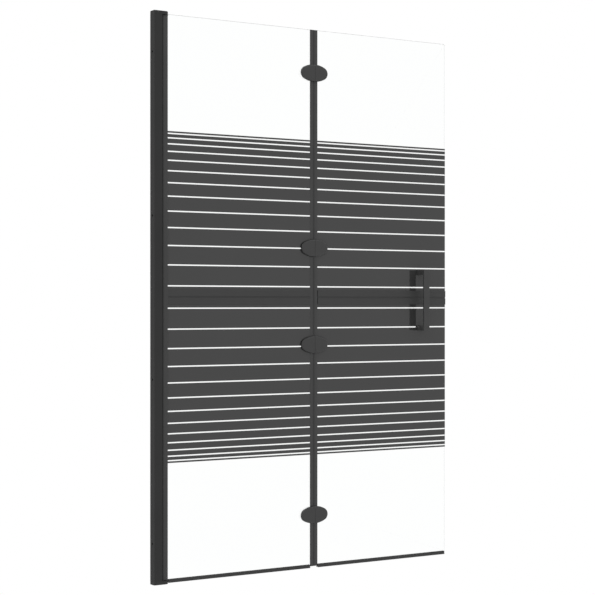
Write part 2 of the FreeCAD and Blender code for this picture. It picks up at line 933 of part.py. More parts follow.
def main():
    """Build every piece and write it to its own file."""
    os.makedirs("parts", exist_ok=True)
    nodes = {}
    nodes.update(wall_frame_nodes())
    nodes.update(inner_panel_nodes())
    nodes.update(outer_panel_nodes())
    for name, shape in nodes.items():
        shape.exportStep("parts/" + name + ".step")
        print(name, len(shape.Solids), "solids, valid", shape.isValid())


main()
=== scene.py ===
"""Looks of the folding shower enclosure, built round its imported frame.

X runs out from the wall along the closed panels, Z is up and -Y is the handle side.
Lengths are in metres, and every piece keeps its place in its own mesh.
"""

import logging
import math
from dataclasses import dataclass, field
from enum import Enum
from typing import Sequence

import bmesh
import bpy
import numpy as np
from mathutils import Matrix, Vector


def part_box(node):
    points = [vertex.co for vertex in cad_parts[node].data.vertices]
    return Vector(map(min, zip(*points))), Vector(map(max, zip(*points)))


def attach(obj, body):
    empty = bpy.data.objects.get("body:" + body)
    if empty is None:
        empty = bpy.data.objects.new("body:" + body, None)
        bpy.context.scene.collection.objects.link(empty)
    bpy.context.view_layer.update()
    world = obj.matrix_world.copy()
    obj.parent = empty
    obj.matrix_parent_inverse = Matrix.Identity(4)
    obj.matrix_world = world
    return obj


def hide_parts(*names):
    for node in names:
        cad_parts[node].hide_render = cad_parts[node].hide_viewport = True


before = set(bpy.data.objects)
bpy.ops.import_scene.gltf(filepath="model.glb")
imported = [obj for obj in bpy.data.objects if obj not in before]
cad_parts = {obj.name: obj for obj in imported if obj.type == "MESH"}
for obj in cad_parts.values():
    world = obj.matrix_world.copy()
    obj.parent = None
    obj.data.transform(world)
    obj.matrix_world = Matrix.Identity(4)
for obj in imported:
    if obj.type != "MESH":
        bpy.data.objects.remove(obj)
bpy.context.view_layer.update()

MM = 0.001
MERGE_DISTANCE = 0.001 * MM
FLAT_ANGLE = math.radians(0.5)
SHARP_ANGLE = math.radians(32.0)

FOLD = 469.9 * MM
HINGE_HEIGHTS = (139.2 * MM, 579.5 * MM, 829.5 * MM, 1282.5 * MM)
HALF_HINGE_HEIGHT = 22.6 * MM
HALF_GLASS = 2.5 * MM
CONTACT_SINK = 0.02 * MM

CLOUD_DETAIL = 3.0
SPECK_DETAIL = 2.0
DARKER_TONE_UP_TO = 0.3
LIGHTER_TONE_FROM = 0.7
GLASS_INDEX = 1.5
GLASS_DEPTH_COLOUR = (0.45, 0.80, 0.66, 1.0)
GLASS_DEPTH_DENSITY = 0.9
GLASS_SHADE_COLOUR = (0.94, 0.96, 0.95, 1.0)
WHITE = (1.0, 1.0, 1.0, 1.0)
EVEN = (1.0, 1.0, 1.0)
LOG = logging.getLogger("enclosure")

Piece = bpy.types.Object
Corner = tuple[float, float, float]


class Grain(Enum):
    """The kinds of surface that the real pieces have."""

    POWDER = "orange peel of a baked powder coat"
    SATIN = "fine satin coat on a casting"
    ANODISED = "faint draw lines along an extrusion"
    MOULDED = "pebbled skin of a moulded part"
    RUBBER = "soft matt skin"
    FIRED = "smooth fired enamel"
    TURNED = "lathe marks on steel"
    CLEAR = "polished float glass"


@dataclass(frozen=True)
class GrainLook:
    """How a grain shows: its scales, its height and how far tone and sheen wander.

    Attributes:
        cloud: Scale of the slow change of tone, per metre.
        speck: Scale of the fine grain, per metre.
        stretch: How the pattern is squeezed along each axis.
        height: Height of the grain in metres.
        strength: Share of that height that the light sees.
        tone_swing: Share by which the tone wanders.
        sheen_swing: How far the roughness wanders.
    """

    cloud: float
    speck: float = 0.0
    stretch: tuple[float, float, float] = EVEN
    height: float = 0.0
    strength: float = 0.0
    tone_swing: float = 0.0
    sheen_swing: float = 0.0


GRAIN_LOOKS = {
    Grain.POWDER: GrainLook(9.0, 900.0, EVEN, 0.02 * MM, 0.35, 0.05, 0.05),
    Grain.SATIN: GrainLook(40.0, 1600.0, EVEN, 0.01 * MM, 0.30, 0.05, 0.05),
    Grain.ANODISED: GrainLook(30.0, 1400.0, (1.0, 1.0, 0.02), 0.01 * MM, 0.35, 0.05, 0.06),
    Grain.MOULDED: GrainLook(50.0, 1800.0, EVEN, 0.03 * MM, 0.40, 0.06, 0.05),
    Grain.RUBBER: GrainLook(25.0, 2200.0, EVEN, 0.02 * MM, 0.30, 0.08, 0.06),
    Grain.FIRED: GrainLook(3.0, 260.0, EVEN, 0.002 * MM, 0.10, 0.03, 0.012),
    Grain.TURNED: GrainLook(60.0, 2600.0, (1.0, 1.0, 8.0), 0.01 * MM, 0.30, 0.06, 0.08),
    Grain.CLEAR: GrainLook(1.5, tone_swing=0.002),
}


def either(
    tree: bpy.types.NodeTree, first: bpy.types.NodeSocket, second: bpy.types.NodeSocket
) -> bpy.types.NodeSocket:
    """Adds a node that gives the greater of two values, so one where either is one.

    Args:
        tree: The node tree.
        first: One value.
        second: The other value.

    Returns:
        The new node's result.
    """
    greater = tree.nodes.new("ShaderNodeMath")
    greater.operation = "MAXIMUM"
    tree.links.new(first, greater.inputs[0])
    tree.links.new(second, greater.inputs[1])
    return greater.outputs[0]


@dataclass(frozen=True)
class Finish:
    """One finish of the enclosure, made into a procedural material when first used.

    Attributes:
        name: The material's name.
        slot: Name of the slot that the finish belongs to; nothing in the script reads it.
        tone: Linear brightness of the colour.
        grain: The kind of surface.
        roughness: Middle of the roughness.
        gloss: Level of the mirror part, where a half is a usual lacquer.
        metal: How far it is bare metal.
        tint: Colour of the finish at full brightness.
    """

    name: str
    slot: str
    tone: float
    grain: Grain
    roughness: float
    gloss: float = 0.5
    metal: float = 0.0
    tint: tuple[float, float, float] = EVEN

    def colour(self, share: float) -> tuple[float, float, float, float]:
        """The tone with its tint, brightened by a share.

        Args:
            share: How much brighter than the plain tone, below zero for darker.

        Returns:
            Linear red, green, blue and one.
        """
        level = self.tone * (1.0 + share)
        return tuple(level * part for part in self.tint) + (1.0,)

    def material(self) -> bpy.types.Material:
        """The finish as a material; a second call gives the same one."""
        known = bpy.data.materials.get(self.name)
        return known if known else self.make_material()

    def make_material(self) -> bpy.types.Material:
        """Builds the nodes: slow clouds for tone, fine specks for sheen and height.

        Returns:
            The new material.
        """
        made = bpy.data.materials.new(self.name)
        made.use_nodes = True
        nodes, links = made.node_tree.nodes, made.node_tree.links
        shader = nodes["Principled BSDF"]
        look = GRAIN_LOOKS[self.grain]
        shader.inputs["Metallic"].default_value = self.metal
        shader.inputs["Specular IOR Level"].default_value = self.gloss

        places = nodes.new("ShaderNodeTexCoord")
        squeeze = nodes.new("ShaderNodeMapping")
        squeeze.inputs["Scale"].default_value = look.stretch
        links.new(places.outputs["Object"], squeeze.inputs["Vector"])

        clouds = nodes.new("ShaderNodeTexNoise")
        clouds.inputs["Scale"].default_value = look.cloud
        clouds.inputs["Detail"].default_value = CLOUD_DETAIL
        links.new(squeeze.outputs["Vector"], clouds.inputs["Vector"])
        tones = nodes.new("ShaderNodeValToRGB")
        darker, lighter = tones.color_ramp.elements
        darker.position = DARKER_TONE_UP_TO
        darker.color = self.colour(-look.tone_swing)
        lighter.position = LIGHTER_TONE_FROM
        lighter.color = self.colour(look.tone_swing)
        links.new(clouds.outputs["Fac"], tones.inputs["Fac"])
        links.new(tones.outputs["Color"], shader.inputs["Base Color"])

        if self.grain is Grain.CLEAR:
            self.make_clear(made, shader)
            return made
        specks = nodes.new("ShaderNodeTexNoise")
        specks.inputs["Scale"].default_value = look.speck
        specks.inputs["Detail"].default_value = SPECK_DETAIL
        links.new(squeeze.outputs["Vector"], specks.inputs["Vector"])
        sheen = nodes.new("ShaderNodeMapRange")
        sheen.inputs["To Min"].default_value = max(0.0, self.roughness - look.sheen_swing)
        sheen.inputs["To Max"].default_value = self.roughness + look.sheen_swing
        links.new(specks.outputs["Fac"], sheen.inputs["Value"])
        links.new(sheen.outputs["Result"], shader.inputs["Roughness"])

        relief = nodes.new("ShaderNodeBump")
        relief.inputs["Distance"].default_value = look.height
        relief.inputs["Strength"].default_value = look.strength
        links.new(specks.outputs["Fac"], relief.inputs["Height"])
        links.new(relief.outputs["Normal"], shader.inputs["Normal"])
        return made

    def make_clear(self, made: bpy.types.Material, shader: bpy.types.ShaderNode) -> None:
        """Lets light through, with the faint green that a long way in glass gives.

        Light that only falls on things behind the glass passes straight on.

        Args:
            made: The glass material.
            shader: Its surface shader.
        """
        nodes, links = made.node_tree.nodes, made.node_tree.links
        result = nodes["Material Output"]
        shader.inputs["Roughness"].default_value = self.roughness
        shader.inputs["Transmission Weight"].default_value = 1.0
        shader.inputs["IOR"].default_value = GLASS_INDEX
        depth = nodes.new("ShaderNodeVolumeAbsorption")
        depth.inputs["Color"].default_value = GLASS_DEPTH_COLOUR
        depth.inputs["Density"].default_value = GLASS_DEPTH_DENSITY
        links.new(depth.outputs["Volume"], result.inputs["Volume"])
        path = nodes.new("ShaderNodeLightPath")
        unseen = either(
            made.node_tree, path.outputs["Is Shadow Ray"], path.outputs["Is Diffuse Ray"]
        )
        passing = nodes.new("ShaderNodeBsdfTransparent")
        passing.inputs["Color"].default_value = GLASS_SHADE_COLOUR
        lit = nodes.new("ShaderNodeMixShader")
        links.new(unseen, lit.inputs["Fac"])
        links.new(shader.outputs["BSDF"], lit.inputs[1])
        links.new(passing.outputs["BSDF"], lit.inputs[2])
        links.new(lit.outputs["Shader"], result.inputs["Surface"])


FRAME_COAT = Finish("frame_powder_coat", "frame_black", 0.034, Grain.POWDER, 0.50, 0.05)
POST_COAT = Finish("post_powder_coat", "frame_black", 0.030, Grain.POWDER, 0.45, 0.38)
ADJUSTER_COAT = Finish("adjuster_powder_coat", "adjuster_black", 0.020, Grain.POWDER, 0.5, 0.3)
CAP_NYLON = Finish("end_cap_nylon", "cap_plastic", 0.033, Grain.MOULDED, 0.52, 0.08)
PIN_STEEL = Finish("turned_pin_steel", "steel", 0.55, Grain.TURNED, 0.30, 0.5, 1.0)
SCREW_OXIDE = Finish("black_oxide_screws", "black_screws", 0.030, Grain.SATIN, 0.38, 0.5)
PANEL_GLASS = Finish(
    "toughened_glass", "glass", 0.997, Grain.CLEAR, 0.0, 0.5, 0.0, (0.995, 1.0, 0.998)
)
STRIPE_ENAMEL = Finish("fired_stripe_enamel", "stripe_print", 0.036, Grain.FIRED, 0.045, 0.41)
RAIL_COAT = Finish("rail_satin_coat", "rail_black", 0.021, Grain.SATIN, 0.58, 0.5)
TRIM_ANODISED = Finish("black_anodised_trim", "trim_black", 0.022, Grain.ANODISED, 0.36, 0.5)
HINGE_COAT = Finish("hinge_satin_coat", "hinge_black", 0.018, Grain.SATIN, 0.38, 0.5)
HANDLE_COAT = Finish("handle_satin_coat", "handle_black", 0.049, Grain.SATIN, 0.36, 0.18)
SEAL_RUBBER = Finish("black_seal_rubber", "seal_rubber", 0.026, Grain.RUBBER, 0.60, 0.35)


class Plane(Enum):
    """How a section lies: its two axes, and the axis that it is carried along."""

    PLAN = (0, 1, 2)
    FACE = (0, 2, 1)
    SECTION = (1, 2, 0)

    def place(self, rings: np.ndarray, depths: np.ndarray) -> np.ndarray:
        """Turns flat rings and their depths into points in space.

        Args:
            rings: Rings of flat points, one ring after another.
            depths: Where each ring stands along the third axis.

        Returns:
            Rings of points in space.
        """
        across, up, along = self.value
        placed = np.empty(rings.shape[:2] + (3,))
        placed[..., across] = rings[..., 0]
        placed[..., up] = rings[..., 1]
        placed[..., along] = depths[:, None]
        return placed


@dataclass(frozen=True)
class Outline:
    """A closed section drawn anticlockwise, with the outward direction at each point."""

    points: np.ndarray
    outward: np.ndarray


def rounded_outline(corners: Sequence[Corner], steps: int = 5) -> Outline:
    """Rounds every corner of a straight-sided section with its own radius.

    An arc touches both sides of its corner. Its points are its centre plus the radius
    times the outward direction, which turns evenly from one side's to the next side's.
    At a hollow corner the centre lies outside, and the radius is taken off instead.

    Args:
        corners: Place across, place up and radius of each corner, anticlockwise.
        steps: How many straight steps an arc has.

    Returns:
        The rounded outline.
    """
    given = np.asarray(corners, float)
    place, radius = given[:, :2], given[:, 2]
    ahead = np.roll(place, -1, axis=0) - place
    ahead /= np.linalg.norm(ahead, axis=1, keepdims=True)
    behind = np.roll(ahead, 1, axis=0)
    cross = behind[:, 0] * ahead[:, 1] - behind[:, 1] * ahead[:, 0]
    turn = np.arctan2(cross, np.sum(behind * ahead, axis=1))
    first = np.arctan2(-behind[:, 0], behind[:, 1])
    angle = first[:, None] + turn[:, None] * np.linspace(0.0, 1.0, steps + 1)
    outward = np.stack([np.cos(angle), np.sin(angle)], axis=-1)
    signed = np.sign(turn) * radius
    start = place - behind * (radius * np.tan(np.abs(turn) / 2))[:, None]
    centre = start - signed[:, None] * outward[:, 0]
    points = centre[:, None] + signed[:, None, None] * outward
    return Outline(points.reshape(-1, 2), outward.reshape(-1, 2))


def prism(
    outline: Outline, low: float, high: float, plane: Plane, edge: float, steps: int = 4
) -> np.ndarray:
    """Carries a section from low to high, with a quarter-round edge at both ends.

    Over the quarter turn a of an edge of radius r, the section is drawn in by
    r (1 - sin a) and stands r (1 - cos a) inside the end.

    Args:
        outline: The section.
        low: Where it starts.
        high: Where it stops.
        plane: How the section lies.
        edge: Radius of the edge at both ends.
        steps: Steps over each edge.

    Returns:
        Rings of points in space.
    """
    turn = np.linspace(0.0, math.pi / 2, steps + 1)
    inset = edge * (1.0 - np.sin(turn))
    inside = edge * (1.0 - np.cos(turn))
    insets = np.concatenate([inset, inset[::-1]])
    depths = np.concatenate([low + inside, (high - inside)[::-1]])
    rings = outline.points[None] - outline.outward[None] * insets[:, None, None]
    return plane.place(rings, depths)


def turned(
    profile: Sequence[Corner] | np.ndarray,
    centre: tuple[float, float],
    plane: Plane,
    around: int = 48,
) -> np.ndarray:
    """Turns a profile about an axis, round or, where it says so, with six flats.

    The radius at an angle is the profile's radius, divided for the hexagon's share by
    the cosine of the angle folded into one sixth of a turn.

    Args:
        profile: Radius, depth and hexagon share of each ring.
        centre: Where the axis stands in the plane.
        plane: How the rings lie.
        around: Points in a ring.

    Returns:
        Rings of points in space.
    """
    given = np.asarray(profile, float)
    radius, depth, hexagon = given[:, 0, None], given[:, 1], given[:, 2, None]
    angle = np.arange(around) * (2 * math.pi / around)
    folded = (angle + math.pi / 6) % (math.pi / 3) - math.pi / 6
    reach = radius * (1.0 - hexagon + hexagon / np.cos(folded))
    rings = np.stack(
        [centre[0] + reach * np.cos(angle), centre[1] + reach * np.sin(angle)], axis=-1
    )
    return plane.place(rings, depth)


def quarter_round(
    inner: float, foot: float, width: float, rise: float, points: int
) -> np.ndarray:
    """The round over the rim of a turned head, from its foot up to its flat top.

    At the angle a the radius is inner + width cos a and the depth is foot + rise sin a.

    Args:
        inner: Radius of the flat top.
        foot: Depth at which the round starts.
        width: How far it reaches past the flat top.
        rise: How far it rises.
        points: How many points it has.

    Returns:
        Radius, depth and hexagon share of each point.
    """
    turn = np.linspace(0.0, math.pi / 2, points)
    radius, depth = inner + width * np.cos(turn), foot + rise * np.sin(turn)
    return np.stack([radius, depth, np.zeros(points)], axis=-1)


@dataclass
class Shells:
    """Closed shells of stacked rings, gathered into one piece."""

    points: list[np.ndarray] = field(default_factory=list)
    faces: list[list[int]] = field(default_factory=list)
    count: int = 0

    def add(self, rings: np.ndarray, looped: bool = False) -> None:
        """Adds a shell: quads between rings, and either a lid at each end or a loop.

        Args:
            rings: Rings of points in space.
            looped: True where the last ring joins the first.
        """
        stack, around = rings.shape[:2]
        index = np.arange(stack * around).reshape(stack, around) + self.count
        if looped:
            index = np.concatenate([index, index[:1]])
        ahead = np.roll(index, -1, axis=1)
        sides = np.stack([index[:-1], ahead[:-1], ahead[1:], index[1:]], axis=-1)
        self.faces += sides.reshape(-1, 4).tolist()
        if not looped:
            self.faces += [index[0][::-1].tolist(), index[-1].tolist()]
        self.points.append(rings.reshape(-1, 3))
        self.count += stack * around

    def made(self, name: str) -> Piece:
        """The gathered shells as one object, smooth apart from its sharp edges.

        Args:
            name: The piece's name.

        Returns:
            The new object.
        """
        mesh = bpy.data.meshes.new(name)
        mesh.from_pydata(np.concatenate(self.points).tolist(), [], self.faces)
        shell = bmesh.new()
        shell.from_mesh(mesh)
        bmesh.ops.recalc_face_normals(shell, faces=shell.faces)
        shell.to_mesh(mesh)
        shell.free()
        piece = linked(name, mesh)
        evened = piece.modifiers.new("even_light", "WEIGHTED_NORMAL")
        evened.keep_sharp = True
        return piece


def linked(name: str, mesh: bpy.types.Mesh) -> Piece:
    """Puts a mesh in the scene as an object, smooth apart from its sharp edges.

    Args:
        name: The object's name.
        mesh: Its mesh.

    Returns:
        The new object.
    """
    mesh.shade_smooth()
    mesh.set_sharp_from_angle(angle=SHARP_ANGLE)
    piece = bpy.data.objects.new(name, mesh)
    bpy.context.scene.collection.objects.link(piece)
    return piece


def merged_copy(node: str, name: str) -> bpy.types.Mesh:
    """Copies a CAD node's mesh and merges its loose triangles into whole faces.

    Args:
        node: The CAD node.
        name: The new mesh's name.

    Returns:
        The new mesh.
    """
    mesh = bpy.data.meshes.new(name)
    shell = bmesh.new()
    shell.from_mesh(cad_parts[node].data)
    bmesh.ops.remove_doubles(shell, verts=shell.verts, dist=MERGE_DISTANCE)
    bmesh.ops.dissolve_limit(
        shell, angle_limit=FLAT_ANGLE, verts=shell.verts, edges=shell.edges
    )
    shell.to_mesh(mesh)
    shell.free()
    return mesh


def softened(
    node: str, name: str, width: float, steps: int = 2, growth: float = 0.0
) -> Piece:
    """Copies a CAD node and breaks its sharp edges.

    Growth moves every point away from the plane Y = 0, so that what lies on a pane
    stands a hair inside it and the two faces don't share one place.

    Args:
        node: The CAD node.
        name: The new piece's name.
        width: Width of the broken edge.
        steps: Steps over the broken edge.
        growth: How far the front and the back move outwards.

    Returns:
        The new object.
    """
    mesh = merged_copy(node, name)
    places = np.empty(len(mesh.vertices) * 3)
    mesh.vertices.foreach_get("co", places)
    places[1::3] += growth * np.sign(places[1::3])
    mesh.vertices.foreach_set("co", places)
    piece = linked(name, mesh)
    broken = piece.modifiers.new("broken_edges", "BEVEL")
    broken.width = width
    broken.segments = steps
    broken.limit_method = "ANGLE"
    broken.angle_limit = SHARP_ANGLE
    broken.harden_normals = True
    return piece


def settle(piece: Piece, body: str, finish: Finish, *nodes: str) -> Piece:
    """Gives a piece its finish, its body and the CAD nodes that it stands for.

    Args:
        piece: The piece.
        body: The CAD body that carries it.
        finish: Its finish.
        nodes: The CAD nodes that it replaces.

    Returns:
        The same piece.
    """
    piece.data.materials.clear()
    piece.data.materials.append(finish.material())
    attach(piece, body)
    if nodes:
        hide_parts(*nodes)
    LOG.info("%s rides on %s in %s", piece.name, body, finish.name)
    return piece


def dress_node(node: str, finish: Finish) -> None:
    """Gives a CAD node that stays in view its finish.

    Args:
        node: The CAD node.
        finish: Its finish.
    """
    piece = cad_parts[node]
    for kept in piece.material_slots:
        kept.material = finish.material()
    LOG.info("%s keeps its shape, in %s", node, finish.name)


@dataclass
class WallFrame:
    """The channel on the wall, the adjuster in it, the end caps and the set screws."""

    body: str = "wall_frame"
    edge: float = 0.25 * MM
    cap_edge: float = 0.35 * MM
    screw_radius: float = 2.5 * MM
    screw_rim: float = 0.15 * MM
    key_flat: float = 1.25 * MM
    key_depth: float = 1.4 * MM

    def build(self) -> None:
        """Builds and dresses everything that stays on the wall."""
        channel = softened("wall_channel", "wall_channel_profile", self.edge)
        settle(channel, self.body, FRAME_COAT, "wall_channel")
        caps = softened("end_caps", "moulded_end_caps", self.cap_edge, steps=3)
        settle(caps, self.body, CAP_NYLON, "end_caps")
        self.build_set_screws()
        dress_node("adjustment_profile", ADJUSTER_COAT)
        dress_node("draft_seal", SEAL_RUBBER)

    def build_set_screws(self) -> None:
        """Set screws with a hexagon socket, flush with the channel's hidden side."""
        low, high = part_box("clamp_screws")
        centre_x = (low.x + high.x) / 2
        rim = self.screw_radius - self.screw_rim
        floor = high.y - self.key_depth
        profile = [
            (rim, low.y, 0.0),
            (self.screw_radius, low.y + self.screw_rim, 0.0),
            (self.screw_radius, high.y - self.screw_rim, 0.0),
            (rim, high.y, 0.0),
            (self.key_flat, high.y, 1.0),
            (self.key_flat, floor, 1.0),
            (self.screw_rim, floor - self.screw_rim, 0.0),
        ]
        shells = Shells()
        for height in (low.z + self.screw_radius, high.z - self.screw_radius):
            shells.add(turned(profile, (centre_x, height), Plane.FACE))
        screws = shells.made("channel_set_screws")
        settle(screws, self.body, SCREW_OXIDE, "clamp_screws")


@dataclass
class PivotPost:
    """The round-backed post that turns on the pivot and holds the inner glass."""

    body: str = "inner_panel"
    nose_radius: float = 1.4 * MM
    slot_depth: float = 5.0 * MM
    half_slot: float = 3.5 * MM
    lip_radius: float = 0.3 * MM
    end_edge: float = 0.2 * MM
    pin_edge: float = 0.4 * MM
    arc_steps: int = 20

    def build(self) -> None:
        """Builds the post and its pins with rounded ends, and dresses its rubber."""
        low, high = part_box("pivot_post")
        round_back = (high.y - low.y) / 2
        slot_end = high.x - self.slot_depth
        corners = [
            (low.x, low.y, round_back),
            (high.x, low.y, self.nose_radius),
            (high.x, -self.half_slot, self.lip_radius),
            (slot_end, -self.half_slot, self.lip_radius),
            (slot_end, self.half_slot, self.lip_radius),
            (high.x, self.half_slot, self.lip_radius),
            (high.x, high.y, self.nose_radius),
            (low.x, high.y, round_back),
        ]
        outline = rounded_outline(corners, self.arc_steps)
        shells = Shells()
        shells.add(prism(outline, low.z, high.z, Plane.PLAN, self.end_edge))
        settle(shells.made("pivot_post_profile"), self.body, POST_COAT, "pivot_post")
        pins = softened("pivot_pins", "steel_pivot_pins", self.pin_edge)
        settle(pins, self.body, PIN_STEEL, "pivot_pins")
        dress_node("glazing_gasket", SEAL_RUBBER)


@dataclass
class GlassPanel:
    """One pane with its print, centre rail, bottom seal and edge trim.

    Attributes:
        side: Name of the side, as the CAD nodes have it.
        body: The CAD body that carries the panel.
        outwards: One where the panel lies beyond the fold, minus one before it.
    """

    side: str
    body: str
    outwards: float
    glass_arris: float = 0.4 * MM
    ink_run: float = 0.26 * MM
    rail_radius: float = 0.6 * MM
    rail_lip: float = 0.25 * MM
    rail_end: float = 0.15 * MM
    rail_groove: float = 4.0 * MM
    rail_groove_depth: float = 1.3 * MM
    seal_leg: float = 1.6 * MM
    seal_web_top: float = 7.5 * MM
    seal_web_bottom: float = 6.2 * MM
    seal_fin_root: float = 1.6 * MM
    seal_fin: float = 0.9 * MM
    seal_fin_lean: float = 2.2 * MM
    seal_tip: float = 0.35 * MM
    seal_round: float = 0.3 * MM
    seal_end: float = 0.15 * MM
    trim_wall: float = 1.6 * MM
    trim_back_width: float = 9.2 * MM
    trim_radius: float = 0.5 * MM
    trim_lip: float = 0.15 * MM
    trim_line_start: float = 2.4 * MM
    trim_line: float = 0.4 * MM
    trim_end: float = 0.1 * MM
    hinge_lap: float = 1.0 * MM

    def build(self) -> None:
        """Builds and dresses the whole panel."""
        glass = f"{self.side}_glass"
        pane = softened(glass, f"{self.side}_pane", self.glass_arris, growth=CONTACT_SINK)
        settle(pane, self.body, PANEL_GLASS, glass)
        self.build_print()
        self.build_rail()
        self.build_seal()
        self.build_trim()

    def build_print(self) -> None:
        """Printed stripes, whose ink has run a little past its drawn edge in firing.

        A stripe's upper points rise and its lower points sink by the width of that run.
        """
        node = f"{self.side}_stripes"
        mesh = merged_copy(node, f"{self.side}_fired_stripes")
        places = np.empty(len(mesh.vertices) * 3)
        directions = np.empty_like(places)
        mesh.vertices.foreach_get("co", places)
        mesh.vertex_normals.foreach_get("vector", directions)
        places[2::3] += self.ink_run * np.sign(directions[2::3])
        mesh.vertices.foreach_set("co", places)
        settle(linked(mesh.name, mesh), self.body, STRIPE_ENAMEL, node)

    def build_rail(self) -> None:
        """Centre rail: a flat section with rounded front edges and a fine groove."""
        node = f"{self.side}_centre_rail"
        low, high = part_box(node)
        middle = (low.z + high.z) / 2
        half_groove = self.rail_groove / 2
        bed = low.y + self.rail_groove_depth
        corners = [
            (low.y, low.z, self.rail_radius),
            (high.y, low.z, self.rail_lip),
            (high.y, high.z, self.rail_lip),
            (low.y, high.z, self.rail_radius),
            (low.y, middle + half_groove, self.rail_lip),
            (bed, middle + half_groove, self.rail_lip),
            (bed, middle - half_groove, self.rail_lip),
            (low.y, middle - half_groove, self.rail_lip),
        ]
        shells = Shells()
        section = rounded_outline(corners)
        shells.add(prism(section, low.x, high.x, Plane.SECTION, self.rail_end))
        settle(shells.made(f"{self.side}_grooved_rail"), self.body, RAIL_COAT, node)

    def build_seal(self) -> None:
        """Bottom seal: a clip on the glass with two leaning drip fins below its web."""
        node = f"{self.side}_bottom_seal"
        low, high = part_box(node)
        leg = HALF_GLASS + self.seal_leg
        root, fin = self.seal_fin_root, self.seal_fin
        tip = root + self.seal_fin_lean
        web, bed = self.seal_web_bottom, self.seal_web_top
        corners = [
            (-tip - fin, low.z, self.seal_tip),
            (-tip, low.z, self.seal_tip),
            (-root, web, self.seal_round),
            (root - fin, web, self.seal_round),
            (tip - fin, low.z, self.seal_tip),
            (tip, low.z, self.seal_tip),
            (root, web, self.seal_round),
            (leg, web, self.seal_round),
            (leg, high.z, self.seal_round),
            (HALF_GLASS, high.z, self.seal_round),
            (HALF_GLASS, bed, self.seal_round),
            (-HALF_GLASS, bed, self.seal_round),
            (-HALF_GLASS, high.z, self.seal_round),
            (-leg, high.z, self.seal_round),
            (-leg, web, self.seal_round),
        ]
        shells = Shells()
        section = rounded_outline(corners)
        shells.add(prism(section, low.x, high.x, Plane.SECTION, self.seal_end))
        settle(shells.made(f"{self.side}_drip_seal"), self.body, SEAL_RUBBER, node)

    def build_trim(self) -> None:
        """Edge trim: a thin channel with a fine line and a shorter back leg, in lengths."""
        node = f"{self.side}_edge_trim"
        low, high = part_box(node)
        near, far = (low.x, high.x) if self.outwards > 0 else (high.x, low.x)
        step = self.outwards
        line_start = near + step * self.trim_line_start
        line_stop = line_start + step * self.trim_line
        bed = near + step * self.trim_wall
        back_far = near + step * self.trim_back_width
        groove = low.y + self.trim_line
        corners = [
            (near, low.y, self.trim_radius),
            (line_start, low.y, self.trim_lip),
            (line_start, groove, self.trim_lip),
            (line_stop, groove, self.trim_lip),
            (line_stop, low.y, self.trim_lip),
            (far, low.y, self.trim_radius),
            (far, -HALF_GLASS, self.trim_lip),
            (bed, -HALF_GLASS, self.trim_lip),
            (bed, HALF_GLASS, self.trim_lip),
            (back_far, HALF_GLASS, self.trim_lip),
            (back_far, high.y, self.trim_radius),
            (near, high.y, self.trim_radius),
        ]
        section = rounded_outline(corners if self.outwards > 0 else corners[::-1])
        clear = HALF_HINGE_HEIGHT - self.hinge_lap
        starts = (low.z,) + tuple(height + clear for height in HINGE_HEIGHTS)
        stops = tuple(height - clear for height in HINGE_HEIGHTS) + (high.z,)
        shells = Shells()
        for start, stop in zip(starts, stops):
            shells.add(prism(section, start, stop, Plane.PLAN, self.trim_end))
        settle(shells.made(f"{self.side}_fold_trim"), self.body, TRIM_ANODISED, node)
        if self.side == "inner":
            dress_node("fold_seal", SEAL_RUBBER)


